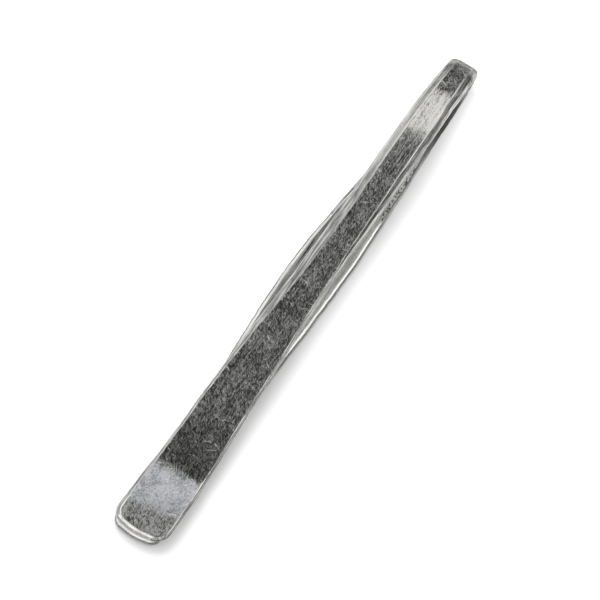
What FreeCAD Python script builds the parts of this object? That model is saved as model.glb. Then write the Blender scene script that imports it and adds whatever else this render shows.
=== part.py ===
import FreeCAD, Part
import os

import Sketcher

# Tie clip forged from one length of round wire.
# +X runs from the paddle tip to the fold, +Y across, +Z up through the front face.
# The origin lies under the middle of the clip, on the surface that the back leaf rests on.
# Lengths are in millimetres and angles in degrees. A reach is counted from the fold's outer end, a set is
# how far the hand-forged strip wanders towards +Y, and a recess how far the bar stops short of the leaf.

SIZES = {
    "clip_length": 57.0,
    "wire_diameter": 2.2,
    "edge_upright": 0.3,
    "edge_bevel": 0.33,
    "waist_bevel": 0.4,
    "fold_bevel": 0.5,
    "fold_width": 3.1,
    "fold_inner_radius": 0.35,
    "fold_lift": 8.0,
    "crown_reach": 8.5,
    "crown_width": 3.48,
    "crown_set": 0.04,
    "crown_height": 3.8,
    "waist_reach": 24.0,
    "waist_width": 3.55,
    "waist_set": 0.15,
    "flare_reach": 38.0,
    "flare_width": 4.6,
    "flare_set": 0.22,
    "paddle_length": 7.8,
    "crease_width": 5.48,
    "crease_set": 0.12,
    "paddle_width": 5.8,
    "paddle_set": 0.2,
    "paddle_corner": 1.4,
    "paddle_arch": 0.08,
    "paddle_recess": 0.15,
    "root_reach": 11.0,
    "root_width": 3.5,
    "root_set": 0.15,
    "belly_reach": 28.0,
    "belly_width": 5.36,
    "belly_set": 0.66,
    "neck_reach": 40.0,
    "neck_width": 4.5,
    "neck_set": 0.56,
    "leaf_end_width": 4.88,
    "leaf_end_set": 0.52,
    "leaf_end_corner": 1.0,
    "back_dressing": 0.05,
    "arm_clearance": 0.1,
    "end_rounding": 0.2,
}

doc = FreeCAD.newDocument("tie_clip")
sheet = doc.addObject("Spreadsheet::Sheet", "dims")
for row, (name, value) in enumerate(SIZES.items(), start=1):
    sheet.set(f"A{row}", name)
    sheet.set(f"B{row}", str(value))
    sheet.setAlias(f"B{row}", name)
doc.recompute()


def size(name):
    return f"dims.{name}"


# Each edge of the strip has an upright middle between two bevels. Its sizes are shares of the thickness:
# the bevels are broadest at the fold, where the wire keeps most of its roundness.
# Forging keeps the wire's area, so the thickness follows from the width.
WIRE_AREA = "pi * dims.wire_diameter ^ 2 / 4"


def forged(width, bevel="edge_bevel"):
    """Thickness of the wire where it is hammered out to a width."""
    lost = f"{size(bevel)} * (1 - dims.edge_upright)"
    return f"(({width}) - sqrt(({width}) ^ 2 - 4 * {lost} * {WIRE_AREA})) / (2 * {lost})"


def from_fold(reach):
    return f"dims.clip_length / 2 - ({reach})"


def from_tip(reach):
    return f"({reach}) - dims.clip_length / 2"


def origin_feature(body, role):
    return next(f for f in body.Origin.OriginFeatures if f.Role == role)


def section(body, name, along, bottom, width, bevel="edge_bevel", thickness=None, sideways=None, tilt=None):
    """Sketch across the strip: flat faces joined by bevelled edges.

    Its origin is the middle of the bottom face. A tilt leans the sketch about that line, top towards +X.
    """
    thickness = thickness or forged(width, bevel)
    sketch = body.newObject("Sketcher::SketchObject", name)
    sketch.AttachmentSupport = [(origin_feature(body, "YZ_Plane"), "")]
    sketch.MapMode = "FlatFace"
    if tilt:
        lean = FreeCAD.Rotation(FreeCAD.Vector(1, 0, 0), SIZES[tilt])
        sketch.AttachmentOffset = FreeCAD.Placement(FreeCAD.Vector(), lean)
        sketch.setExpression("AttachmentOffset.Rotation.Angle", size(tilt))
    sketch.setExpression("AttachmentOffset.Base.z", along)
    sketch.setExpression("AttachmentOffset.Base.y", bottom)
    if sideways:
        sketch.setExpression("AttachmentOffset.Base.x", sideways)

    # The right half is drawn from the bottom face up to the top face, and the left half mirrors it.
    half_width = SIZES["fold_width"] / 2
    half_flat = half_width / 2
    high = SIZES["wire_diameter"] / 2
    bevel_high = high / 3
    right = [(half_flat, 0), (half_width, bevel_high), (half_width, high - bevel_high), (half_flat, high)]
    outline = right + [(-x, y) for x, y in reversed(right)]
    draw_loop(sketch, outline)
    lower_bevel, edge, upper_bevel, top_face = range(4)
    start, across, upright = 1, -1, -2
    for corner in range(len(right)):
        mirrored = len(outline) - 1 - corner
        sketch.addConstraint(Sketcher.Constraint("Symmetric", corner, start, mirrored, start, upright))
    sketch.addConstraint([
        Sketcher.Constraint("PointOnObject", lower_bevel, start, across),
        Sketcher.Constraint("Vertical", edge),
        Sketcher.Constraint("Vertical", lower_bevel, start, top_face, start),
    ])
    bottom_face, left_edge = len(outline) - 1, len(outline) - 2
    flat = f"({width}) - 2 * {size(bevel)} * ({thickness})"
    drive(sketch, ("DistanceX", bottom_face, start, lower_bevel, start), 2 * half_flat, flat)
    drive(sketch, ("DistanceX", left_edge, start, edge, start), 2 * half_width, width)
    drive(sketch, ("DistanceY", edge, start, upper_bevel, start), high - 2 * bevel_high,
          f"dims.edge_upright * ({thickness})")
    for low, up in ((lower_bevel, edge), (upper_bevel, top_face)):
        drive(sketch, ("DistanceY", low, start, up, start), bevel_high,
              f"(1 - dims.edge_upright) / 2 * ({thickness})")
    return sketch


def draw_loop(sketch, outline):
    """Draws lines from corner to corner and joins their ends."""
    corners = [FreeCAD.Vector(x, y) for x, y in outline]
    ahead = corners[1:] + corners[:1]
    sketch.addGeometry([Part.LineSegment(*ends) for ends in zip(corners, ahead)])
    for line in range(len(corners)):
        sketch.addConstraint(Sketcher.Constraint("Coincident", line, 2, (line + 1) % len(corners), 1))


def drive(sketch, kind_and_points, first_value, expression):
    """Adds a dimension to a sketch and binds it to an expression."""
    index = sketch.addConstraint(Sketcher.Constraint(*kind_and_points, first_value))
    sketch.setExpression(f"Constraints[{index}]", expression)


def loft(body, name, sections):
    feature = body.newObject("PartDesign::AdditiveLoft", name)
    feature.Profile = sections[0]
    feature.Sections = sections[1:]
    feature.Ruled = False
    return feature


def rounded_end(body, name, first, bottom, place, recess="0"):
    """Draws a strip in along a quarter circle at each corner, thinning it evenly towards its end face."""
    width = size(f"{place}_width")
    corner = size(f"{place}_corner")
    sections = [first]
    for turn in (60, 30, 0):
        along = from_tip(f"{recess} + {corner} * (1 - cos({turn} deg))")
        drawn_in = f"(1 - sin({turn} deg))"
        thinned = f"dims.end_rounding * {drawn_in}"
        sections.append(section(
            body, f"{name}_{turn}", along, f"{bottom} + {thinned}", f"{width} - 2 * {corner} * {drawn_in}",
            thickness=f"{forged(width)} - 2 * {thinned}", sideways=size(f"{place}_set")))
    return loft(body, name, sections)


# Heights that the arms share
FOLD_THICKNESS = forged(size("fold_width"), "fold_bevel")
FOLD_RADIUS = f"dims.fold_inner_radius + {FOLD_THICKNESS}"
LEAF_TOP = f"{forged(size('neck_width'))} - dims.back_dressing"
CREASE_BOTTOM = f"{LEAF_TOP} + dims.arm_clearance"
CREASE_TOP = f"{CREASE_BOTTOM} + {forged(size('crease_width'))}"

# Where the front bar leaves the bend, counted from the bend's axis
SEAM_ALONG = "dims.fold_inner_radius * sin(dims.fold_lift * 1 deg)"
SEAM_UP = "dims.fold_inner_radius * cos(dims.fold_lift * 1 deg)"


def bar_bottom(reach, width, bevel):
    """Underside of the front bar, whose top runs straight from its crown down to the crease."""
    run = f"(dims.clip_length - dims.paddle_length - {reach})"
    whole_run = "(dims.clip_length - dims.paddle_length - dims.crown_reach)"
    top = f"{CREASE_TOP} + (dims.crown_height - ({CREASE_TOP})) * {run} / {whole_run}"
    return f"{top} - {forged(width, bevel)}"


# Spring fold: the strip turned about the bend's axis, which is its body's own Y axis
fold = doc.addObject("PartDesign::Body", "spring_fold")
fold.Label = "spring_fold"
fold_section = section(
    fold, "fold_section", SEAM_ALONG, SEAM_UP, size("fold_width"), "fold_bevel", tilt="fold_lift")
bend = fold.newObject("PartDesign::Revolution", "bend")
bend.Profile = fold_section
bend.ReferenceAxis = (origin_feature(fold, "Y_Axis"), [""])
bend.setExpression("Angle", "180 - dims.fold_lift")
fold.setExpression("Placement.Base.x", from_fold(FOLD_RADIUS))
fold.setExpression("Placement.Base.z", FOLD_RADIUS)

# Front bar: crown beside the fold, long flaring bar, crease and arched paddle
bar = doc.addObject("PartDesign::Body", "front_bar")
bar.Label = "front_bar"
bar_sections = [section(
    bar, "bar_start", f"{from_fold(FOLD_RADIUS)} + {SEAM_ALONG}", f"{FOLD_RADIUS} + {SEAM_UP}",
    size("fold_width"), "fold_bevel", tilt="fold_lift")]
for place, bevel in (("crown", "fold_bevel"), ("waist", "waist_bevel"), ("flare", "edge_bevel")):
    reach = size(f"{place}_reach")
    width = size(f"{place}_width")
    bar_sections.append(section(
        bar, f"bar_{place}", from_fold(reach), bar_bottom(reach, width, bevel), width, bevel,
        sideways=size(f"{place}_set")))
crease = section(
    bar, "bar_crease", from_tip(size("paddle_length")), CREASE_BOTTOM, size("crease_width"),
    sideways=size("crease_set"))
loft(bar, "bar", bar_sections + [crease])
SHOULDER = "dims.paddle_recess + dims.paddle_corner"
paddle_middle = section(
    bar, "paddle_middle", from_tip(f"(dims.paddle_length + {SHOULDER}) / 2"),
    f"{CREASE_BOTTOM} + dims.paddle_arch", "(dims.crease_width + dims.paddle_width) / 2",
    sideways="(dims.crease_set + dims.paddle_set) / 2")
paddle_shoulder = section(
    bar, "paddle_shoulder", from_tip(SHOULDER), CREASE_BOTTOM, size("paddle_width"),
    sideways=size("paddle_set"))
loft(bar, "paddle", [crease, paddle_middle, paddle_shoulder])
rounded_end(bar, "paddle_tip", paddle_shoulder, CREASE_BOTTOM, "paddle", size("paddle_recess"))

# Back leaf: lens-shaped spring, set to one side of the bar, its back dressed flat
leaf = doc.addObject("PartDesign::Body", "back_leaf")
leaf.Label = "back_leaf"
LEAF_BOTTOM = "-dims.back_dressing"
leaf_sections = [section(leaf, "leaf_start", from_fold(FOLD_RADIUS), "0", size("fold_width"), "fold_bevel")]
for place, bevel in (("root", "waist_bevel"), ("belly", "edge_bevel"), ("neck", "edge_bevel")):
    leaf_sections.append(section(
        leaf, f"leaf_{place}", from_fold(size(f"{place}_reach")), LEAF_BOTTOM, size(f"{place}_width"), bevel,
        sideways=size(f"{place}_set")))
leaf_tail = section(
    leaf, "leaf_tail", from_fold("(dims.neck_reach + dims.clip_length - dims.leaf_end_corner) / 2"),
    LEAF_BOTTOM, "(dims.neck_width + dims.leaf_end_width) / 2",
    sideways="(dims.neck_set + dims.leaf_end_set) / 2")
leaf_shoulder = section(
    leaf, "leaf_shoulder", from_tip(size("leaf_end_corner")), LEAF_BOTTOM, size("leaf_end_width"),
    sideways=size("leaf_end_set"))
loft(leaf, "blade", leaf_sections + [leaf_tail, leaf_shoulder])
rounded_end(leaf, "leaf_tip", leaf_shoulder, LEAF_BOTTOM, "leaf_end")
doc.recompute()

# The file that dresses the back takes off all that lies below the resting surface.
undressed_volume = leaf.Shape.Volume
file_stroke = leaf.newObject("Sketcher::SketchObject", "file_stroke")
file_stroke.AttachmentSupport = [(origin_feature(leaf, "XY_Plane"), "")]
file_stroke.MapMode = "FlatFace"
half_length = SIZES["clip_length"]
half_width = 2 * SIZES["belly_width"]
draw_loop(file_stroke, [(-half_length, -half_width), (half_length, -half_width),
                        (half_length, half_width), (-half_length, half_width)])
for i in range(4):
    file_stroke.addConstraint(Sketcher.Constraint("Horizontal" if i % 2 == 0 else "Vertical", i))
file_stroke.addConstraint(Sketcher.Constraint("Symmetric", 0, 1, 2, 1, -1, 1))
drive(file_stroke, ("DistanceX", 0, 1, 0, 2), 2 * half_length, "2 * dims.clip_length")
drive(file_stroke, ("DistanceY", 1, 1, 1, 2), 2 * half_width, "4 * dims.belly_width")
dressing = leaf.newObject("PartDesign::Pocket", "dressing")
dressing.Profile = file_stroke
dressing.Type = "ThroughAll"
doc.recompute()
if leaf.Shape.Volume >= undressed_volume:
    raise RuntimeError("the back was not dressed")

for item in doc.Objects:
    if "Invalid" in item.State or "Error" in item.State:
        raise RuntimeError(f"{item.Name} failed: {item.State}")

pieces = (bar, fold, leaf)
for piece in pieces:
    if piece.Shape.isNull() or not piece.Shape.isValid() or len(piece.Shape.Solids) != 1:
        raise RuntimeError(f"{piece.Label} is not one valid solid")

os.makedirs("parts", exist_ok=True)
for piece in pieces:
    piece.Shape.exportStep(f"parts/{piece.Label}.step")
    box = piece.Shape.BoundBox
    print(f"{piece.Label}: volume {piece.Shape.Volume:.2f}, x {box.XMin:.3f} to {box.XMax:.3f}, "
          f"y {box.YMin:.3f} to {box.YMax:.3f}, z {box.ZMin:.3f} to {box.ZMax:.3f}")
print(f"gap between the arms {bar.Shape.distToShape(leaf.Shape)[0]:.3f}")
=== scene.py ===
import math
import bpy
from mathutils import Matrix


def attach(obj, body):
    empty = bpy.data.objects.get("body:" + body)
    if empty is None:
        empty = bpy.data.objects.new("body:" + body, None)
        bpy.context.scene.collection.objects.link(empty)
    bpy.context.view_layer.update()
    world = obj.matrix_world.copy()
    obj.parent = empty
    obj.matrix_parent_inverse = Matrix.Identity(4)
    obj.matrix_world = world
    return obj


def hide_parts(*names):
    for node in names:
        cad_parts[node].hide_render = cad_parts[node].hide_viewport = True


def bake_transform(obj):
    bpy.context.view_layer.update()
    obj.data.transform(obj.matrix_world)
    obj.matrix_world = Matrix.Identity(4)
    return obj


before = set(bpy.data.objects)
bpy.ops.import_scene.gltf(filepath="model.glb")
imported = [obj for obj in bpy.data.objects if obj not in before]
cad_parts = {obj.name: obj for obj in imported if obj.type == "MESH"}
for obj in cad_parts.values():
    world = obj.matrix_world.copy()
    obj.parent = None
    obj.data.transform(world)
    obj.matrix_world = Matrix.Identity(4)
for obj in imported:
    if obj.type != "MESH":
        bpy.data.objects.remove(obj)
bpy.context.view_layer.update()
from types import SimpleNamespace

import bmesh
import bpy
import numpy as np
from mathutils import Vector

# Tie clip of blackened silver, forged from one strip: front bar, spring fold and back leaf.
# Lengths here are in millimetres until a mesh is made. A reach is counted from the fold's outer end.
MM = 0.001
CLIP_LENGTH = 57.0

# Bend of the fold: its inner radius, the thickness of the strip there and the lift of the bar as it leaves
FOLD_THICKNESS = 1.4703
FOLD_INNER = 0.35
FOLD_OUTER = FOLD_INNER + FOLD_THICKNESS
FOLD_LIFT = math.radians(8)
AXIS_REACH = FOLD_OUTER
AXIS_HEIGHT = FOLD_OUTER
# Turn from straight up in degrees, left edge, right edge, left bevel, right bevel, share of the thickness
# that the bevels take
FOLD = np.array([
    (8, 1.56, -1.56, 0.80, 0.67, 0.44),
    (20, 1.50, -1.46, 0.74, 0.58, 0.38),
    (45, 1.46, -1.36, 0.70, 0.50, 0.24),
    (70, 1.43, -1.28, 0.67, 0.44, 0.15),
    (90, 1.40, -1.25, 0.63, 0.42, 0.13),
    (130, 1.30, -1.23, 0.50, 0.44, 0.30),
    (180, 1.22, -1.22, 0.46, 0.46, 0.44),
])

# Section of the strip's edges: where the bevel breaks, as shares of its inset and drop, the drop as a share
# of the thickness, and the rounding of the corners
BEVEL_BREAK_INSET = 0.32
BEVEL_BREAK_DROP = 0.45
BAR_EDGE_DROP = 0.44
LEAF_EDGE_DROP = 0.17
LEAF_FLANK_DROPS = (0.25, 0.30)
LEAF_END_DROP = 0.36
EDGE_ROUNDING = 0.065
LARGEST_ROUNDING_SHARE = 0.45
SHORTEST_STRETCH = 1e-6

# Wear of the edges: at the six corners of a section from the outer face to the inner one, at the points of a
# corner's rounding, and how far it reaches onto a face
CORNER_WEAR = (1.0, 0.3, 0.45, 0.45, 0.3, 1.0)
ROUNDING_WEAR = (0.6, 1.0, 1.0, 0.6)
RUBBED_MARGIN = 0.05

# Columns of the two arms' tables, after the reach
LEFT, RIGHT, THICKNESS, LEFT_BEVEL, RIGHT_BEVEL = range(1, 6)

# Front bar: reach, left edge, right edge, thickness, left bevel, right bevel
BAR_END = 56.85
CREASE_REACH = 49.2
BAR_SEAM_REACH = AXIS_REACH - FOLD_INNER * math.sin(FOLD_LIFT)
BAR = np.array([
    (BAR_SEAM_REACH, 1.56, -1.56, FOLD_THICKNESS, 0.80, 0.67),
    (5.0, 1.71, -1.66, 1.33, 0.86, 0.62),
    (9.0, 1.79, -1.70, 1.25, 0.84, 0.56),
    (18.0, 1.82, -1.66, 1.22, 0.90, 0.44),
    (24.0, 1.93, -1.62, 1.18, 0.90, 0.28),
    (30.0, 2.17, -1.75, 1.08, 0.70, 0.22),
    (36.0, 2.45, -2.00, 0.92, 0.42, 0.18),
    (42.0, 2.62, -2.23, 0.78, 0.30, 0.18),
    (CREASE_REACH, 2.86, -2.62, 0.715, 0.30, 0.22),
    (53.0, 3.05, -2.70, 0.70, 0.34, 0.22),
    (55.6, 3.10, -2.70, 0.69, 0.44, 0.28),
    (BAR_END, 3.10, -2.70, 0.69, 0.46, 0.46),
])
# Slope of the bar's face in degrees along its reach: out of the fold, crown, long descent, paddle
BAR_SLOPE = np.array([
    (1.5, 8.0), (4.1, 6.0),
    (4.7, 3.2), (8.9, 1.2),
    (9.9, -2.4), (12.0, -3.0), (40.0, -2.9), (45.0, -3.4), (49.1, -4.2),
    (49.4, 2.0), (52.0, 0.9), (53.8, 0.1), (54.4, -1.1), (56.0, -1.6), (BAR_END, -6.0),
])
SLOPE_STEPS = 4000
# Heights of the face at the crease and at the seam, and the reach where the sections stand upright again
CREASE_TOP = 1.65
SEAM_TOP = AXIS_HEIGHT + FOLD_OUTER * math.cos(FOLD_LIFT)
LEAN_END = 6.5
# Radii of the left and right corners of the tip, and how far its end bows out
BAR_CORNERS = (1.45, 1.75)
BAR_END_BOW = 0.14

# Back leaf: reach, left edge, right edge, thickness up from its flat back, left bevel, right bevel
LEAF = np.array([
    (AXIS_REACH, 1.22, -1.22, FOLD_THICKNESS, 0.46, 0.46),
    (5.0, 1.34, -1.34, 1.44, 0.44, 0.36),
    (9.0, 1.66, -1.50, 1.26, 0.40, 0.28),
    (14.0, 2.32, -1.76, 0.98, 0.34, 0.20),
    (18.0, 2.80, -1.94, 0.80, 0.28, 0.32),
    (22.0, 3.18, -2.05, 0.70, 0.33, 0.35),
    (27.0, 3.36, -2.04, 0.68, 0.33, 0.35),
    (33.0, 3.13, -1.86, 0.75, 0.33, 0.35),
    (38.0, 2.85, -1.71, 0.82, 0.26, 0.22),
    (46.0, 2.78, -1.74, 0.82, 0.26, 0.22),
    (53.0, 2.97, -1.91, 0.745, 0.26, 0.24),
    (CLIP_LENGTH, 2.97, -1.93, 0.74, 0.34, 0.34),
])
# The corners and the end of its tip, as for the bar
LEAF_CORNERS = (1.1, 1.1)
LEAF_END_BOW = 0.16

# Stretches where the facets beside a face are bright, partly wear and partly painted highlight: start, full
# wear, fading, end
BAR_GLEAM = (13.0, 18.0, 32.0, 37.0)
BAR_GLEAM_STRENGTH = 0.3
LEAF_GLEAM = (17.0, 18.5, 34.0, 38.0)
TIP_GLEAM = (56.1, 56.5)
NO_GLEAM = (0, 0, 0, 0)

# Marks of the hammer: waves along the edges by length and height, nicks in the edges, and dishes in the bar's
# face by height, length along and length across. They fade out beside a seam and beside a tip.
random = np.random.default_rng(57)
EDGE_WAVES = ((9.0, 0.016), (4.3, 0.012), (1.7, 0.006))
NICK_COUNT = 26
NICK_DEPTH = 0.03
NICK_WIDTHS = (0.1, 0.3)
BROAD_DISH = (0.006, 6.1, 5.3)
FINE_DISH = (0.002, 2.7, 3.1)
DISH_FULL = 6.0
SEAM_FADE = 4.0
TIP_FADE = 1.0

# Fineness of the meshes, and the gaps in metres that are closed at a tip
ROW_STEP = 0.14
CORNER_ROWS = 18
END_ROWS = 16
FOLD_ROWS = 48
OUTER_POINTS = 26
INNER_POINTS = 14
ROUNDING_POINTS = len(ROUNDING_WEAR)
FACET_PLACES = (0.3, 0.7)
WELD_GAP = 1e-7
THIN_FACE = 1e-8
# Corners of a section that a bevel facet follows, and the points of the facets beside the two faces
FACET_CORNERS = (1, 2, 4, 5)
OUTER_FACET = slice(ROUNDING_POINTS, ROUNDING_POINTS + len(FACET_PLACES))
INNER_FACET = slice(-ROUNDING_POINTS - len(FACET_PLACES), -ROUNDING_POINTS)

# Noises of the metal: features per millimetre, turn of their grain, stretch along it, detail
CLOUD_NOISE = (0.9, 0.0, 1.5, 3.0)
STREAK_NOISE = (7.0, 0.0, 25.0, 4.0)
RUBBING_NOISE = (0.8, 0.0, 2.5, 3.0)
PIT_NOISE = (4.2, 0.5, 1.4, 2.0)
DOT_NOISE = (5.0, 0.0, 1.0, 2.0)
DENT_NOISE = (5.5, 0.4, 1.3, 1.0)
STROKE_NOISES = [(7.5, turn, 3.0, 2.0) for turn in (0.1, 0.65)]
FLECK_NOISES = [(7.0, turn, 4.0, 1.0) for turn in (0.2, 0.9, 1.5, 2.1, 2.8)]
SCRATCH_NOISES = [(2.2, turn, 3.0, 2.0) for turn in (1.1, 2.0)]
NOISE_ROUGHNESS = 0.55
NOISE_MIDDLE = 0.5
# Levels of a noise between which its marks appear
PIT_LEVELS = (0.62, 0.70)
DENT_LEVELS = (0.50, 0.60)
FLECK_LEVELS = (0.64, 0.76)
SCRATCH_LEVELS = (0.665, 0.71)

# Places along the strip: start, end, softness. The tip has only a soft start.
CROWN = (4.7, 9.4, 0.6)
AFTER_CROWN = (9.4, 13.4, 1.6)
BEFORE_CREASE = (44.5, 49.6, 1.0)
PADDLE = (49.6, 54.0, 0.45)
TIP_START = (53.5, 54.5)
# Their borders wander with the clouds, and lie further along towards the left edge
CLOUD_WANDER = 3.0
BORDER_TILT = 0.17
# Places by the distance from the right edge, and the tip's right corner by the distance across
LEFT_HALF = (1.6, 2.8)
# Bright rims of the crown, partly wear and partly painted reflection
CROWN_RIGHT_RIM = (0.95, 0.7)
CROWN_LEFT_RIM = (2.5, 2.75)
RIGHT_CORNER_ACROSS = (-1.2 * MM, -1.7 * MM)
RIGHT_CORNER_REACH = (55.0, 55.6)
# Painted shade in the throat between the arms behind the fold: where it starts and ends along the strip, and
# its upper limit
THROAT_START = (1.2, 4.2)
THROAT_END = (12.0, 7.0)
THROAT_TOP = (2.0 * MM, 1.4 * MM)
# Plain row of worn punch marks on the leaf: start, end and softness, along it and in from the right edge
PUNCHED_REACH = (11.2, 17.6, 0.2)
PUNCHED_INSET = (0.10, 0.52, 0.04)

# Rubbed edges: share of bare metal by noise or reach, and the stretches where the rubbing is missing
RUBBED_BY_NOISE = (0.3, 0.6, 0.55, 1.0)
RUBBED_INNER = 0.9
RUBBED_BY_FOLD = (1.0, 6.0, 0.25, 1.0)
PATCHES_BY_NOISE = (0.42, 0.58, 0.1, 0.65)
PATCHES_BY_REACH = (14.0, 24.0, 0.45, 1.0)
PATCHES_END = (55.0, 50.0)
PLAIN_MIDDLE = (13.0, 35.0, 2.5)
PLAIN_PADDLE = (44.0, 54.0, 2.0)
PLAIN_PADDLE_SHARE = 0.6
PLAIN_SHARE = 0.8

# Streaked sides: bare metal in the streaks, the calm stretch on the left, painted shade on the sides and
# where it is lifted
STREAKS_ON_SIDE = (0.4, 0.65, 0.0, 0.35)
STREAKS_BY_FOLD = (1.0, 5.0, 0.2, 1.0)
CALM_LEFT = (4.2, 17.0, 3.0)
CALM_SHARE = 0.55
CALM_BARE = 0.26
CALM_LINES = 0.65
# Crown's sides where the painted shade is lifted to paint them lighter; on the right the facet below the
# upper one gets a little more painted shade
SHADE_LIFTED_LEFT = (4.2, 13.8, 3.0)
SHADE_LIFTED_LEFT_SHARE = 0.45
SHADE_LIFTED_RIGHT = (4.5, 9.5, 2.0)
SHADE_LIFTED_RIGHT_BY_FACET = (0.18, 0.30, 0.45, -0.12)
LINES_ON_SIDE = (0.35, 0.65)
SIDE_SHARE = 0.75
# Painted shade on the sides, deeper towards the fold's end
SIDE_SHADE_BY_FOLD = (4.0, 1.5, 0.45, 0.85)

# Bare metal on the faces: flecks, crown (partly wear, partly painted reflection), streaks beside it,
# scratches
FLECKS_BY_CLOUD = (0.3, 0.7, 0.1, 0.4)
CROWN_WEAR_AND_REFLECTION = (0.36, 0.62, 0.32, 1.0)
STREAKS_AFTER_CROWN = (0.4, 0.62, 0.0, 0.45)
SCRATCH_SHARE = 0.65

# Patina: shares of the noises in its mottle, and where its parts show, some of them painted light and shade
MOTTLE_OF_CLOUD = 0.35
MOTTLE_OF_STREAKS = 0.4
MOTTLE_LEVELS = (0.40, 0.72)
CREASE_SHARE = 0.35
DOTS_OF_CLOUD = 0.6
# Lighter paddle and tip: partly wear, partly painted reflection
DOTS_ON_PADDLE = (0.36, 0.62, 0.45, 0.97)
MOTTLE_ON_TIP = (0.45, 0.68, 0.0, 0.8)
PIT_SHARE = 0.5
# Painted highlight in a band near the fold's outer end, and painted shade at the end itself
FOLD_HIGHLIGHT_BAND = (1.5, 1.0, 0.0, 0.5)
FOLD_END_SHADE = (0.95, 0.4, 0.0, 0.8)

# Inputs of the mixing node for its share and its two colours, and its output for the mixed colour
MIX_SHARE, MIX_FIRST, MIX_SECOND = 0, 6, 7
MIX_RESULT = 2

# Colours. Pairs go from the dark to the light end of a mottle or a streak.
BARE_SILVER = (0.93, 0.92, 0.89, 1)
PATINA_COLOURS = (0.09, 0.09, 0.085, 1), (0.54, 0.54, 0.52, 1)
SIDE_COLOURS = (0.12, 0.12, 0.115, 1), (0.48, 0.48, 0.465, 1)
# Inner faces: the left half darkened as painted shade, the right half lightened as painted light
UNDER_LEFT_SHADE_COLOURS = (0.06, 0.06, 0.06, 1), (0.44, 0.44, 0.43, 1)
UNDER_RIGHT_LIGHT_COLOURS = (0.62, 0.62, 0.60, 1), (1.0, 1.0, 0.98, 1)
CREASE_COLOUR = (0.08, 0.08, 0.08, 1)
# Lighter paddle and tip: partly wear, partly painted reflection
PADDLE_WEAR_AND_REFLECTION_COLOUR = (0.62, 0.635, 0.675, 1)
TIP_WEAR_AND_REFLECTION_COLOUR = (0.66, 0.66, 0.64, 1)
PIT_COLOUR = (0.05, 0.05, 0.05, 1)
# Painted shade on the sides
SIDE_SHADE_COLOUR = (0.09, 0.09, 0.09, 1)
# Painted highlight near the fold's outer end, and painted shade at the end itself
FOLD_HIGHLIGHT_COLOUR = (0.42, 0.42, 0.41, 1)
FOLD_END_SHADE_COLOUR = (0.07, 0.07, 0.07, 1)
# Painted shade of the throat, also the colour of the punch marks
THROAT_SHADE_AND_PUNCH_COLOUR = (0.125, 0.125, 0.125, 1)

# Polish and relief: roughness, strength of the glancing reflection, depth of the relief in metres
ROUGH_BY_STROKES = (0.4, 0.7, 0.15, 0.24)
ROUGH_BARE = 0.05
ROUGH_UNDER = 0.2
GLANCING_BY_FOLD = (0.8, 3.0, 0.65, 1.0)
# Weaker glancing reflection in the throat, as painted shade
GLANCING_IN_THROAT_SHADE = (0.0, 1.0, 1.0, 0.35)
STROKE_RELIEF = 0.5
FLECK_RELIEF = 0.2
STREAK_RELIEF = 0.3
PUNCH_RELIEF = 1.5
RELIEF_BY_WEAR = (0.2, 0.9, 0.35, 0.08)
RELIEF_DEPTH = 0.00002

# View and light. Lengths are in metres and angles in degrees. A heading is counted from +X towards +Y.
CAMERA_AZIMUTH = -56.85
CAMERA_ELEVATION = 67.0
CAMERA_DISTANCE = 1.2
CAMERA_TARGET = (-0.23 * MM, 0.19 * MM, 1.6 * MM)
CAMERA_CLIP_END = 10
FRAME_WIDTH = 56.28 * MM
BEHIND = CAMERA_AZIMUTH + 90
FLOOR_HALF = 1.5
FLOOR_COLOUR = (0.9, 0.9, 0.9, 1)
FLOOR_ROUGHNESS = 0.9
FLOOR_SKY = 0.75
# Lamps for the floor: name, lit place, heading, elevation, distance, width, radiance
LAMPS = (
    ("window", (-0.01, 0, 0), BEHIND + 12, 50.0, 0.15, 0.14, 3.4),
    ("fill", (0.0262, -0.005, 0), -80, 60.0, 0.008, 0.005, 7.0),
)
# Bright walls under a dark ceiling, which the metal shows: the elevations between which one gives way to the
# other, and their light
WALL_TOP = 67
CEILING_EDGE = 70
WALL_LIGHT = 1.05
CEILING_LIGHT = 0.16
# Round patches on the walls: heading, elevation, radius, softness, share of the light that they give
WALL_PATCHES = (
    (BEHIND - 6, 50, 9.5, 3.5, 0.16),
    (BEHIND - 17, 20, 24, 6, 0.42),
    (-70, 8, 29, 9, 0.3),
    (-55, 53, 9, 4, 1.3),
)


def smooth(stations, column, reach):
    """Smooth curve through one column of a table of stations."""
    knots, values = stations[:, 0], stations[:, column]
    slopes = np.gradient(values, knots)
    cell = np.clip(np.searchsorted(knots, reach) - 1, 0, len(knots) - 2)
    run = knots[cell + 1] - knots[cell]
    u = (np.clip(reach, knots[0], knots[-1]) - knots[cell]) / run
    return (values[cell] * (1 + 2 * u) * (1 - u) ** 2 + values[cell + 1] * u ** 2 * (3 - 2 * u)
            + run * (slopes[cell] * u * (1 - u) ** 2 - slopes[cell + 1] * u ** 2 * (1 - u)))


def smoothstep(low, high, value):
    """Rises from zero at low to one at high, with level ends. It falls where low is the larger."""
    u = np.clip((value - low) / (high - low), 0, 1)
    return u * u * (3 - 2 * u)


def stretch(reach, start, full, fading, end):
    """One from full to fading, and zero before start and after end."""
    return smoothstep(start, full, reach) * smoothstep(end, fading, reach)


def ripple(reach, waves):
    """Unevenness left by the hammer: a sum of waves, each with a length and a height."""
    total = np.zeros_like(reach)
    for length, height in waves:
        total += height * np.sin(2 * math.pi * (reach / length + random.random()))
    return total


def nicks(reach):
    """Small dents at places along an edge."""
    depth = np.zeros_like(reach)
    for place in random.uniform(SEAM_FADE, CLIP_LENGTH - TIP_FADE, NICK_COUNT):
        width = random.uniform(*NICK_WIDTHS)
        depth += NICK_DEPTH * random.random() * np.exp(-((reach - place) / width) ** 2)
    return depth


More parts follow.
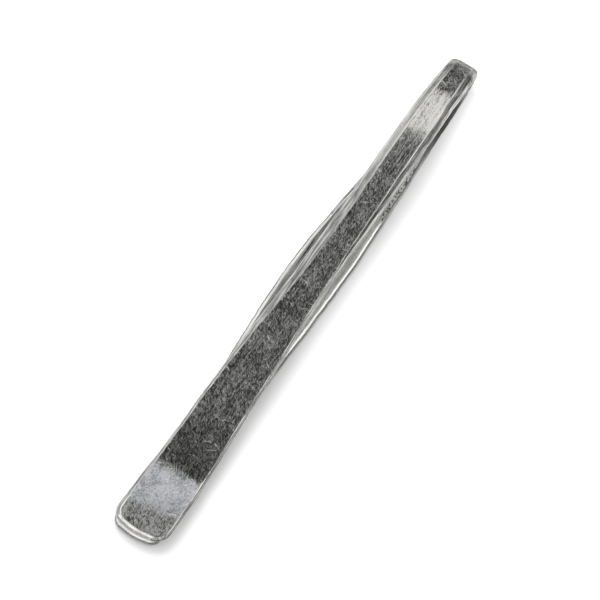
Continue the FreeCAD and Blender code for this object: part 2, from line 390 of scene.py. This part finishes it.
def bar_top(reach):
    """Height of the bar's face, summed from its slope and set to meet the seam and the crease."""
    fine = np.linspace(BAR_SLOPE[0, 0], CLIP_LENGTH, SLOPE_STEPS)
    slope = np.interp(fine, BAR_SLOPE[:, 0], BAR_SLOPE[:, 1])
    height = np.cumsum(np.tan(np.radians(slope))) * (fine[1] - fine[0])
    height += CREASE_TOP - np.interp(CREASE_REACH, fine, height)
    seam_reach = AXIS_REACH - FOLD_OUTER * math.sin(FOLD_LIFT)
    miss = SEAM_TOP - np.interp(seam_reach, fine, height)
    height += miss * np.clip((CREASE_REACH - fine) / (CREASE_REACH - seam_reach), 0, 1)
    return np.interp(reach, fine, height)


def contour(stations, corners, bow):
    """Plan of an arm from its seam to the middle of its tip: the reach of each row and its two edges."""
    start, end = stations[0, 0], stations[-1, 0]
    shoulder = end - bow - max(corners)
    straight = np.linspace(start, shoulder, int((shoulder - start) / ROW_STEP))
    turn = np.linspace(0, math.pi / 2, CORNER_ROWS + 1)[1:]
    inward = np.linspace(0, 1, END_ROWS + 1)[1:]
    reach = np.concatenate([
        straight, shoulder + max(corners) * np.sin(turn), end - bow * (1 - inward) ** 2])
    closing = np.concatenate([np.zeros(len(straight) + CORNER_ROWS), inward])
    faded = stretch(reach, start, start + SEAM_FADE, shoulder - TIP_FADE, end)
    edges = []
    for column, side, corner in ((LEFT, 1, corners[0]), (RIGHT, -1, corners[1])):
        into_corner = np.clip((reach - (end - bow - corner)) / corner, 0, 1)
        drawn_in = corner * (1 - np.sqrt(1 - into_corner ** 2))
        edge = smooth(stations, column, reach) + faded * ripple(reach, EDGE_WAVES)
        edges.append(edge - side * (drawn_in + faded * nicks(reach)))
    middle = (edges[0] + edges[1]) / 2
    left, right = (edge + (middle - edge) * closing for edge in edges)
    return reach, left, right


def outward(reach, edge, side):
    """Direction out of an arm's edge in plan, as parts along the reach and across."""
    along, across = np.gradient(reach), np.gradient(edge)
    along[-1], across[-1] = 0, -side
    size = np.hypot(along, across)
    return -side * across / size, side * along / size


def bend_corner(before, corner, after):
    """Points of a rounded corner between two straight stretches, each given as (inset, height)."""
    def toward(point):
        step = point - corner
        length = np.maximum(np.hypot(*step), SHORTEST_STRETCH)
        return corner + step * np.minimum(EDGE_ROUNDING / length, LARGEST_ROUNDING_SHARE)
    first, last = toward(before), toward(after)
    for u in np.linspace(0, 1, ROUNDING_POINTS):
        yield first * (1 - u) ** 2 + 2 * corner * u * (1 - u) + last * u ** 2


def edge_profile(bevel, thickness, drop):
    """Inset and height of each point round an edge, from the outer face to the inner one, with its wear. The
    bevel breaks once, so the edge is rounder than a plain chamfer."""
    none = np.zeros_like(bevel)
    on_face = bevel + 1
    fall = drop * thickness
    break_inset = bevel * BEVEL_BREAK_INSET
    break_fall = fall * BEVEL_BREAK_DROP
    corners = [np.array(pair) for pair in (
        (on_face, thickness),
        (bevel, thickness),
        (break_inset, thickness - break_fall),
        (none, thickness - fall),
        (none, fall),
        (break_inset, break_fall),
        (bevel, none),
        (on_face, none))]
    points, wear = [], []
    for place, worn in enumerate(CORNER_WEAR, start=1):
        points += bend_corner(corners[place - 1], corners[place], corners[place + 1])
        wear += [worn * share for share in ROUNDING_WEAR]
        if place in FACET_CORNERS:
            points += [corners[place] * (1 - u) + corners[place + 1] * u for u in FACET_PLACES]
            wear += [0.0] * len(FACET_PLACES)
    return np.array(points), np.array(wear)


def spread(count):
    """Places across a face, closer together towards its edges."""
    return (1 - np.cos(np.linspace(0, math.pi, count + 2)[1:-1])) / 2


def round_strip(left, outer, right, inner):
    """One ring of values: the left edge's first point, the outer face, the right edge, the inner face, and
    the rest of the left edge."""
    return np.concatenate([left[:1], outer, right, inner, left[:0:-1]])


def ring_rows(reach, edges, outs, thickness, bevels, drops, place, gleam=NO_GLEAM):
    """Rows of points round an arm or the fold, and the marks of each point. A row starts on the outer face at
    the left edge, crosses to the right edge, goes round it, crosses back on the inner face and goes round the
    left edge. place turns a reach, a distance across and a height into a point. gleam is the wear and painted
    highlight of the left and right facets beside the outer face, then beside the inner face."""
    sides = []
    for edge, out, bevel, drop in zip(edges, outs, bevels, drops):
        profile, wear = edge_profile(bevel, thickness, drop)
        inset, height = profile[:, 0], profile[:, 1]
        sides.append((reach - out[0] * inset, edge - out[1] * inset, height))
    left, right = sides

    def face(index, count):
        u = spread(count)[:, None]
        return [a[index] * (1 - u) + b[index] * u for a, b in zip(left, right)]

    outer, inner = face(0, OUTER_POINTS), face(-1, INNER_POINTS)
    ring = [round_strip(a, over, b, under[::-1]) for a, over, b, under in zip(left, outer, right, inner)]

    def face_wear(index, count):
        width = np.hypot(left[0][index] - right[0][index], left[1][index] - right[1][index])
        u = spread(count)[:, None]
        return ROUNDING_WEAR[0] * np.exp(-(np.minimum(u, 1 - u) * width / RUBBED_MARGIN) ** 2)

    rows, count = len(reach), len(wear)
    left_wear, right_wear = (np.tile(wear[:, None], (1, rows)) for side in sides)
    left_wear[OUTER_FACET], right_wear[OUTER_FACET], left_wear[INNER_FACET], right_wear[INNER_FACET] = gleam
    on_side = np.ones((count, rows))
    on_side[[0, -1]] = 0
    inward = np.tile(np.linspace(0, 1, count)[:, None], (1, rows))
    outer_none, inner_none = np.zeros((OUTER_POINTS, rows)), np.zeros((INNER_POINTS, rows))
    marks = {
        "wear": round_strip(left_wear, face_wear(0, OUTER_POINTS), right_wear, face_wear(-1, INNER_POINTS)),
        "side": round_strip(on_side, outer_none, on_side, inner_none),
        "inner": round_strip(inward, outer_none, inward, inner_none + 1),
        "inset": ring[1] - edges[1],
        "reach": ring[0],
    }
    places = np.moveaxis(np.array(place(*ring)), (0, 1, 2), (2, 1, 0))
    return places, {name: mark.T for name, mark in marks.items()}


def make_bar():
    """Points and marks of the front bar."""
    reach, left, right = contour(BAR, BAR_CORNERS, BAR_END_BOW)
    shift = random.random(3)
    broad, broad_along, broad_across = BROAD_DISH
    fine, fine_along, fine_across = FINE_DISH

    def wave(turns):
        return np.sin(2 * math.pi * turns)

    def place(at, across, height):
        thickness = smooth(BAR, THICKNESS, at)
        dish = broad * wave(at / broad_along + shift[0]) * wave(across / broad_across + shift[1])
        dish += fine * wave(at / fine_along + across / fine_across + shift[2])
        dish *= smoothstep(BAR_SEAM_REACH, DISH_FULL, at) * height / thickness
        lean = FOLD_LIFT * (1 - smoothstep(BAR_SEAM_REACH, LEAN_END, at))
        bottom = bar_top(at - thickness * np.sin(lean)) - thickness * np.cos(lean)
        return at - height * np.sin(lean), across, bottom + height * np.cos(lean) + dish

    # Tip and flank facets painted bright: partly wear, partly painted highlight
    tip = smoothstep(*TIP_GLEAM, reach)
    flank = BAR_GLEAM_STRENGTH * stretch(reach, *BAR_GLEAM)
    return ring_rows(
        reach, (left, right), (outward(reach, left, 1), outward(reach, right, -1)),
        smooth(BAR, THICKNESS, reach), (smooth(BAR, LEFT_BEVEL, reach), smooth(BAR, RIGHT_BEVEL, reach)),
        (BAR_EDGE_DROP, BAR_EDGE_DROP), place, (tip + flank, tip, 0, 0))


def make_leaf():
    """Points and marks of the back leaf. Its inner face is the upper one."""
    reach, left, right = contour(LEAF, LEAF_CORNERS, LEAF_END_BOW)

    def place(at, across, height):
        return at, across, smooth(LEAF, THICKNESS, at) - height

    # Tip and flank facets painted bright: partly wear, partly painted highlight
    tip = smoothstep(*TIP_GLEAM, reach)
    flank = stretch(reach, *LEAF_GLEAM)
    plain_drop = LEAF_EDGE_DROP + (LEAF_END_DROP - LEAF_EDGE_DROP) * tip
    drops = [plain_drop + (drop - LEAF_EDGE_DROP) * flank for drop in LEAF_FLANK_DROPS]
    return ring_rows(
        reach, (left, right), (outward(reach, left, 1), outward(reach, right, -1)),
        smooth(LEAF, THICKNESS, reach), (smooth(LEAF, LEFT_BEVEL, reach), smooth(LEAF, RIGHT_BEVEL, reach)),
        drops, place, (0, 0, tip + flank, tip + flank))


def make_fold():
    """Points and marks of the spring fold, with its turn in the place of a reach."""
    turn = np.linspace(FOLD_LIFT, math.pi, FOLD_ROWS + 1)
    curves = [smooth(FOLD, column, np.degrees(turn)) for column in range(1, FOLD.shape[1])]
    left, right, left_bevel, right_bevel, drop = curves
    level = np.ones_like(turn)

    def place(at, across, height):
        radius = FOLD_INNER + height
        return AXIS_REACH - radius * np.sin(at), across, AXIS_HEIGHT + radius * np.cos(at)

    places, marks = ring_rows(
        turn, (left, right), ((0 * level, level), (0 * level, -level)), FOLD_THICKNESS * level,
        (left_bevel, right_bevel), (drop, drop), place)
    marks["reach"] = places[..., 0]
    return places, marks


def grid_faces(rows, points):
    """Faces of a grid that closes round its rows."""
    faces = []
    for row in range(rows - 1):
        for point in range(points):
            after = (point + 1) % points
            a, b = row * points, (row + 1) * points
            faces.append((a + point, a + after, b + after, b + point))
    return faces


def to_frame(places):
    """Points of the strip in the frame of the CAD, in metres."""
    flat = places.reshape(-1, 3) * MM
    return np.stack([CLIP_LENGTH / 2 * MM - flat[:, 0], flat[:, 1], flat[:, 2]], axis=1)


def strip_normals(bar, fold, leaf):
    """Normals of the three pieces as one strip, so that no seam shows. They are left out at the two tips."""
    whole = np.concatenate([bar[::-1], fold[1:], leaf[1:]])
    rows, points = whole.shape[:2]
    mesh = bpy.data.meshes.new("whole_strip")
    mesh.from_pydata(to_frame(whole).tolist(), [], grid_faces(rows, points))
    normals = np.empty(rows * points * 3, dtype=np.float32)
    mesh.vertex_normals.foreach_get("vector", normals)
    bpy.data.meshes.remove(mesh)
    normals = normals.reshape(rows, points, 3)
    tip = END_ROWS + CORNER_ROWS
    normals[:tip] = 0
    normals[-tip:] = 0
    fold_start, leaf_start = len(bar) - 1, len(bar) + len(fold) - 2
    return normals[fold_start::-1], normals[fold_start:leaf_start + 1], normals[leaf_start:]


def weld(mesh):
    """Joins the points that meet at a tip and drops the faces that vanish there."""
    work = bmesh.new()
    work.from_mesh(mesh)
    bmesh.ops.remove_doubles(work, verts=work.verts, dist=WELD_GAP)
    bmesh.ops.dissolve_degenerate(work, dist=THIN_FACE, edges=work.edges)
    bmesh.ops.recalc_face_normals(work, faces=work.faces)
    work.to_mesh(mesh)
    work.free()


def make_piece(name, grid, normals, caps):
    """One piece of the strip. A cut end gets a flat cap, and a tip closes on itself."""
    places, marks = grid
    rows, points = places.shape[:2]
    faces = grid_faces(rows, points)
    if "first" in caps:
        faces.append(tuple(range(points)))
    if "last" in caps:
        faces.append(tuple((rows - 1) * points + point for point in reversed(range(points))))
    mesh = bpy.data.meshes.new(name)
    mesh.from_pydata(to_frame(places).tolist(), [], faces)
    for mark, values in marks.items():
        layer = mesh.attributes.new(mark, "FLOAT", "POINT")
        layer.data.foreach_set("value", values.ravel().astype(np.float32))
    layer = mesh.attributes.new("strip_normal", "FLOAT_VECTOR", "POINT")
    layer.data.foreach_set("vector", normals.ravel())
    weld(mesh)
    mesh.shade_smooth()
    kept = np.empty(len(mesh.vertices) * 3, dtype=np.float32)
    mesh.attributes["strip_normal"].data.foreach_get("vector", kept)
    mesh.normals_split_custom_set_from_vertices(kept.reshape(-1, 3).tolist())
    mesh.attributes.remove(mesh.attributes["strip_normal"])
    piece = bpy.data.objects.new(name, mesh)
    bpy.context.scene.collection.objects.link(piece)
    return piece


class Field:
    """A number that varies over the metal or the walls, held as a socket of a node tree. Fields add, subtract
    and multiply with each other and with plain numbers."""

    def __init__(self, socket):
        self.socket = socket
        self.tree = socket.id_data

    def __add__(self, other):
        return combined(self.tree, "ADD", self, other)

    def __sub__(self, other):
        return combined(self.tree, "SUBTRACT", self, other)

    def __rsub__(self, other):
        return combined(self.tree, "SUBTRACT", other, self)

    def __mul__(self, other):
        return combined(self.tree, "MULTIPLY", self, other)

    def ramp(self, start, end, at_start=0.0, at_end=1.0):
        """Smooth change from one number at start to another at end."""
        inputs = {"Value": self, "From Min": start, "From Max": end, "To Min": at_start, "To Max": at_end}
        made = node(self.tree, "ShaderNodeMapRange", inputs, interpolation_type="SMOOTHSTEP")
        return Field(made.outputs[0])

    def within(self, low, high, soft):
        """One between two limits and zero outside, with soft ends."""
        return self.ramp(low - soft, low + soft) * self.ramp(high + soft, high - soft)

    def drawn_to(self, level, share):
        """The number brought nearer to a level by a share."""
        return self + (level - self) * share


def feed(entry, value):
    """Gives an input of a node a plain value, a field or a socket."""
    source = value.socket if isinstance(value, Field) else value
    if isinstance(source, bpy.types.NodeSocket):
        entry.id_data.links.new(source, entry)
    else:
        entry.default_value = source


def node(tree, kind, inputs=None, **settings):
    """Adds a shader node with its settings and inputs."""
    made = tree.nodes.new(kind)
    for name, value in settings.items():
        setattr(made, name, value)
    for name, value in (inputs or {}).items():
        feed(made.inputs[name], value)
    return made


def combined(tree, operation, first, second):
    """Result of a sum on two numbers or fields."""
    return Field(node(tree, "ShaderNodeMath", {0: first, 1: second}, operation=operation).outputs[0])


def highest(first, *others):
    """The highest of several fields."""
    for other in others:
        first = combined(first.tree, "MAXIMUM", first, other)
    return first


def mixed(share, first, second):
    """Colour between two others, each a colour or a socket."""
    inputs = {MIX_SHARE: share, MIX_FIRST: first, MIX_SECOND: second}
    return node(share.tree, "ShaderNodeMix", inputs, data_type="RGBA").outputs[MIX_RESULT]


def noise(where, per_millimetre, turn, drawn_out, detail):
    """Noise with so many features per millimetre, drawn out in a direction in the plane of the strip."""
    tree = where.id_data
    size = MM / per_millimetre
    turned = node(tree, "ShaderNodeMapping", {
        "Vector": where, "Rotation": (0, 0, turn), "Scale": (size * drawn_out, size, size),
    }, vector_type="TEXTURE")
    made = node(tree, "ShaderNodeTexNoise", {
        "Vector": turned.outputs[0], "Scale": 1.0, "Detail": detail, "Roughness": NOISE_ROUGHNESS})
    return Field(made.outputs["Fac"])


def patterns(where):
    """Noises over the metal: clouds of patina, short strokes along and across the strip, brushed streaks,
    rubbing, dots, flecks, scratches, pits and dents."""
    def layered(noises):
        return highest(*[noise(where, *each) for each in noises])

    return SimpleNamespace(
        cloud=noise(where, *CLOUD_NOISE),
        strokes=layered(STROKE_NOISES),
        streak=noise(where, *STREAK_NOISE),
        rubbing=noise(where, *RUBBING_NOISE),
        dots=noise(where, *DOT_NOISE),
        fleck=layered(FLECK_NOISES).ramp(*FLECK_LEVELS),
        scratch=layered(SCRATCH_NOISES).ramp(*SCRATCH_LEVELS),
        pit=noise(where, *PIT_NOISE).ramp(*PIT_LEVELS),
        dent=noise(where, *DENT_NOISE).ramp(*DENT_LEVELS))


def zones(where, mark, pattern):
    """Places on the metal, each one inside and zero outside."""
    split = node(where.id_data, "ShaderNodeSeparateXYZ", {"Vector": where}).outputs
    across, rise = Field(split["Y"]), Field(split["Z"])
    wander = (pattern.cloud - NOISE_MIDDLE) * CLOUD_WANDER + (pattern.strokes - NOISE_MIDDLE)
    border = mark.reach + wander - across * (BORDER_TILT / MM)
    face = 1.0 - mark.side
    outer = 1.0 - mark.inner
    left = mark.inset.ramp(*LEFT_HALF)
    outer_left = left * outer
    outer_right = outer - outer_left
    # Painted shade in the throat behind the fold
    throat = mark.reach.ramp(*THROAT_START) * border.ramp(*THROAT_END) * rise.ramp(*THROAT_TOP)
    in_row = mark.reach.within(*PUNCHED_REACH) * mark.inset.within(*PUNCHED_INSET)
    punched = pattern.dent * in_row * mark.inner
    return SimpleNamespace(
        face=face,
        outer=outer,
        left=left,
        outer_left=outer_left,
        inner_face=mark.inner * face,
        crown=face * border.within(*CROWN),
        after_crown=face * border.within(*AFTER_CROWN),
        before_crease=face * border.within(*BEFORE_CREASE),
        paddle=face * border.within(*PADDLE),
        tip=face * border.ramp(*TIP_START),
        right_corner=across.ramp(*RIGHT_CORNER_ACROSS) * mark.reach.ramp(*RIGHT_CORNER_REACH),
        # Crown's sides where the painted shade is lifted
        shade_lifted_left=outer_left * mark.reach.within(*SHADE_LIFTED_LEFT),
        shade_lifted_right=outer_right * mark.reach.within(*SHADE_LIFTED_RIGHT),
        calm=outer_left * mark.reach.within(*CALM_LEFT) * CALM_SHARE,
        throat=throat,
        punched=punched,
        throat_shade_and_punches=highest(throat, punched))


def bare_metal(mark, pattern, zone):
    """Share of bare metal: rubbed edges, streaked sides, flecks, crown with painted reflection, streaks
    beside it, scratches.
    """
    rubbed = highest(pattern.rubbing.ramp(*RUBBED_BY_NOISE), mark.inner * RUBBED_INNER)
    patchy = pattern.cloud.ramp(*PATCHES_BY_NOISE) * mark.reach.ramp(*PATCHES_END)
    patchy = zone.outer * patchy * mark.reach.ramp(*PATCHES_BY_REACH)
    by_paddle = mark.reach.within(*PLAIN_PADDLE) * PLAIN_PADDLE_SHARE
    worn_round = zone.outer_left * highest(mark.reach.within(*PLAIN_MIDDLE), by_paddle)
    plain = highest(highest(worn_round, zone.right_corner) * PLAIN_SHARE, patchy)
    on_edge = mark.wear * (rubbed * mark.reach.ramp(*RUBBED_BY_FOLD) * (1.0 - plain))

    on_side = mark.side * pattern.streak.ramp(*STREAKS_ON_SIDE) * mark.reach.ramp(*STREAKS_BY_FOLD)
    on_side = on_side.drawn_to(mark.side * CALM_BARE, zone.calm)

    on_face = pattern.fleck * pattern.cloud.ramp(*FLECKS_BY_CLOUD)
    brushed = pattern.streak + (pattern.strokes - NOISE_MIDDLE)
    # Crown painted bright: partly wear, partly painted reflection
    rim = highest(mark.inset.ramp(*CROWN_RIGHT_RIM), mark.inset.ramp(*CROWN_LEFT_RIM))
    crown_wear_and_reflection = zone.crown * highest(brushed.ramp(*CROWN_WEAR_AND_REFLECTION), rim)
    by_crown = zone.after_crown * pattern.streak.ramp(*STREAKS_AFTER_CROWN)
    scratched = pattern.scratch * (zone.face * zone.outer) * SCRATCH_SHARE
    # No bare metal in the throat's painted shade or in the punch marks
    return highest(on_edge, on_side, on_face, crown_wear_and_reflection, by_crown, scratched) * (1.0 - zone.throat_shade_and_punches)


def patina_colour(mark, pattern, zone):
    """Colour of the metal that is not bare: faces, then sides, inner faces, fold's end and throat, partly
    painted light and shade.
    """
    cloud = pattern.cloud - NOISE_MIDDLE
    mottle = pattern.strokes + cloud * MOTTLE_OF_CLOUD + (pattern.streak - NOISE_MIDDLE) * MOTTLE_OF_STREAKS
    patina = mixed(mottle.ramp(*MOTTLE_LEVELS), *PATINA_COLOURS)
    patina = mixed(zone.before_crease * CREASE_SHARE, patina, CREASE_COLOUR)
    dotted = pattern.dots + cloud * DOTS_OF_CLOUD
    # Lighter paddle and tip: partly wear, partly painted reflection
    patina = mixed(zone.paddle * dotted.ramp(*DOTS_ON_PADDLE), patina, PADDLE_WEAR_AND_REFLECTION_COLOUR)
    patina = mixed(zone.tip * mottle.ramp(*MOTTLE_ON_TIP), patina, TIP_WEAR_AND_REFLECTION_COLOUR)
    patina = mixed(pattern.pit * PIT_SHARE, patina, PIT_COLOUR)

    lines = pattern.streak.ramp(*LINES_ON_SIDE).drawn_to(CALM_LINES, zone.calm)
    patina = mixed(mark.side * SIDE_SHARE, patina, mixed(lines, *SIDE_COLOURS))
    # Painted shade on the sides: deeper towards the fold's end, lifted on the crown's sides as painted light
    side_shade = mark.reach.ramp(*SIDE_SHADE_BY_FOLD) - zone.shade_lifted_left * SHADE_LIFTED_LEFT_SHARE
    side_shade = side_shade - zone.shade_lifted_right * mark.inner.ramp(*SHADE_LIFTED_RIGHT_BY_FACET)
    patina = mixed(mark.side * side_shade, patina, SIDE_SHADE_COLOUR)

    # Inner faces: painted shade on the left half, painted light on the right half
    under = mixed(zone.left, mixed(lines, *UNDER_RIGHT_LIGHT_COLOURS), mixed(lines, *UNDER_LEFT_SHADE_COLOURS))
    patina = mixed(zone.inner_face, patina, under)
    # Painted highlight in a band near the fold's outer end, and painted shade at the end itself
    patina = mixed(mark.reach.ramp(*FOLD_HIGHLIGHT_BAND), patina, FOLD_HIGHLIGHT_COLOUR)
    patina = mixed(mark.reach.ramp(*FOLD_END_SHADE), patina, FOLD_END_SHADE_COLOUR)
    # Painted shade in the throat, and the punch marks
    return mixed(zone.throat_shade_and_punches, patina, THROAT_SHADE_AND_PUNCH_COLOUR)


def relief(mark, pattern, zone):
    """Relief of strokes, flecks, streaks and punch marks. It is weaker where an edge is worn."""
    height = pattern.strokes * STROKE_RELIEF + pattern.fleck * FLECK_RELIEF + pattern.streak * STREAK_RELIEF
    height = height - zone.punched * PUNCH_RELIEF
    strength = mark.wear.ramp(*RELIEF_BY_WEAR)
    return node(height.tree, "ShaderNodeBump", {
        "Strength": strength, "Distance": RELIEF_DEPTH, "Height": height}).outputs[0]


def oxidised_silver():
    """Silver with a black patina: rubbed bright on its edges, speckled on its faces, brushed on its crown,
    with painted light and shade.
    """
    material = bpy.data.materials.new("oxidised_silver")
    material.use_nodes = True
    tree = material.node_tree
    where = node(tree, "ShaderNodeTexCoord").outputs["Object"]
    mark = SimpleNamespace()
    for name in ("wear", "side", "inner", "inset", "reach"):
        setattr(mark, name, Field(node(tree, "ShaderNodeAttribute", attribute_name=name).outputs["Fac"]))
    pattern = patterns(where)
    zone = zones(where, mark, pattern)
    bare = bare_metal(mark, pattern, zone)
    patina = patina_colour(mark, pattern, zone)
    rough = pattern.strokes.ramp(*ROUGH_BY_STROKES) + bare * ROUGH_BARE + zone.inner_face * ROUGH_UNDER
    # Weaker glancing reflection in the throat, as painted shade
    glancing = mark.reach.ramp(*GLANCING_BY_FOLD) * zone.throat.ramp(*GLANCING_IN_THROAT_SHADE)
    surface = tree.nodes["Principled BSDF"].inputs
    feed(surface["Base Color"], mixed(bare, patina, BARE_SILVER))
    feed(surface["Metallic"], 1.0)
    feed(surface["Roughness"], rough)
    feed(surface["Specular Tint"], glancing)
    feed(surface["Normal"], relief(mark, pattern, zone))
    return material


def make_floor():
    """White table that the clip lies on."""
    corners = [(x, y, 0) for x, y in ((-1, -1), (1, -1), (1, 1), (-1, 1))]
    mesh = bpy.data.meshes.new("floor")
    mesh.from_pydata([Vector(corner) * FLOOR_HALF for corner in corners], [], [(0, 1, 2, 3)])
    paint = bpy.data.materials.new("floor_paint")
    paint.use_nodes = True
    surface = paint.node_tree.nodes["Principled BSDF"].inputs
    feed(surface["Base Color"], FLOOR_COLOUR)
    feed(surface["Roughness"], FLOOR_ROUGHNESS)
    feed(surface["Specular IOR Level"], 0.0)
    mesh.materials.append(paint)
    made = bpy.data.objects.new("floor", mesh)
    bpy.context.scene.collection.objects.link(made)
    return made


def direction(heading, elevation):
    """Unit vector with a heading and an elevation."""
    h, e = math.radians(heading), math.radians(elevation)
    return Vector((math.cos(h) * math.cos(e), math.sin(h) * math.cos(e), math.sin(e)))


def make_lamp(name, target, heading, elevation, distance, width, radiance):
    """Square lamp that lights a place on the floor and is not seen in the metal."""
    lamp = bpy.data.lights.new(name, "AREA")
    lamp.size = width
    lamp.energy = radiance * math.pi * width ** 2
    made = bpy.data.objects.new(name, lamp)
    toward = direction(heading, elevation)
    made.location = Vector(target) + toward * distance
    made.rotation_mode = "QUATERNION"
    made.rotation_quaternion = toward.to_track_quat("Z", "Y")
    made.visible_camera = False
    made.visible_glossy = False
    bpy.context.scene.collection.objects.link(made)


def make_surroundings():
    """Walls and ceiling for the metal to show. The floor gets an even light and the background is white."""
    world = bpy.data.worlds.new("studio")
    bpy.context.scene.world = world
    world.use_nodes = True
    tree = world.node_tree
    aim = node(tree, "ShaderNodeTexCoord").outputs["Generated"]
    up = Field(node(tree, "ShaderNodeSeparateXYZ", {"Vector": aim}).outputs["Z"])
    wall_top, ceiling_edge = (math.sin(math.radians(elevation)) for elevation in (WALL_TOP, CEILING_EDGE))
    light = up.ramp(wall_top, ceiling_edge, WALL_LIGHT, CEILING_LIGHT)
    for heading, elevation, radius, soft, left_over in WALL_PATCHES:
        centre = direction(heading, elevation)
        facing = node(tree, "ShaderNodeVectorMath", {0: aim, 1: centre}, operation="DOT_PRODUCT")
        outside, inside = (math.cos(math.radians(angle)) for angle in (radius + soft, radius - soft))
        patch = Field(facing.outputs["Value"]).ramp(outside, inside)
        light = light * (1.0 - patch * (1.0 - left_over))
    path = node(tree, "ShaderNodeLightPath").outputs
    even = highest(Field(path["Is Camera Ray"]), Field(path["Is Diffuse Ray"]) * FLOOR_SKY)
    background = tree.nodes["Background"].inputs
    feed(background["Strength"], highest(light, even))
    feed(background["Color"], (1, 1, 1, 1))


def make_camera():
    """Long lens at the photograph's angle."""
    back = direction(CAMERA_AZIMUTH - 90, CAMERA_ELEVATION)
    lens = bpy.data.cameras.new("camera")
    lens.lens = lens.sensor_width * CAMERA_DISTANCE / FRAME_WIDTH
    lens.clip_end = CAMERA_CLIP_END
    made = bpy.data.objects.new("camera", lens)
    made.location = Vector(CAMERA_TARGET) + back * CAMERA_DISTANCE
    made.rotation_mode = "QUATERNION"
    made.rotation_quaternion = (-back).to_track_quat("-Z", "Y")
    bpy.context.scene.collection.objects.link(made)
    bpy.context.scene.camera = made


# Pieces
bar_grid, fold_grid, leaf_grid = make_bar(), make_fold(), make_leaf()
bar_normals, fold_normals, leaf_normals = strip_normals(bar_grid[0], fold_grid[0], leaf_grid[0])
metal = oxidised_silver()
front_bar = make_piece("front_bar_forged", bar_grid, bar_normals, ("first",))
spring_fold = make_piece("spring_fold_bent", fold_grid, fold_normals, ("first", "last"))
back_leaf = make_piece("back_leaf_forged", leaf_grid, leaf_normals, ("first",))
for piece in (front_bar, spring_fold, back_leaf):
    piece.data.materials.append(metal)
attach(front_bar, "bar")
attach(back_leaf, "leaf")
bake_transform(spring_fold)
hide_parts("front_bar")
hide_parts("spring_fold")
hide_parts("back_leaf")

# Stage
floor = make_floor()
for lamp_values in LAMPS:
    make_lamp(*lamp_values)
make_surroundings()
make_camera()
bpy.context.scene.view_settings.view_transform = "Standard"
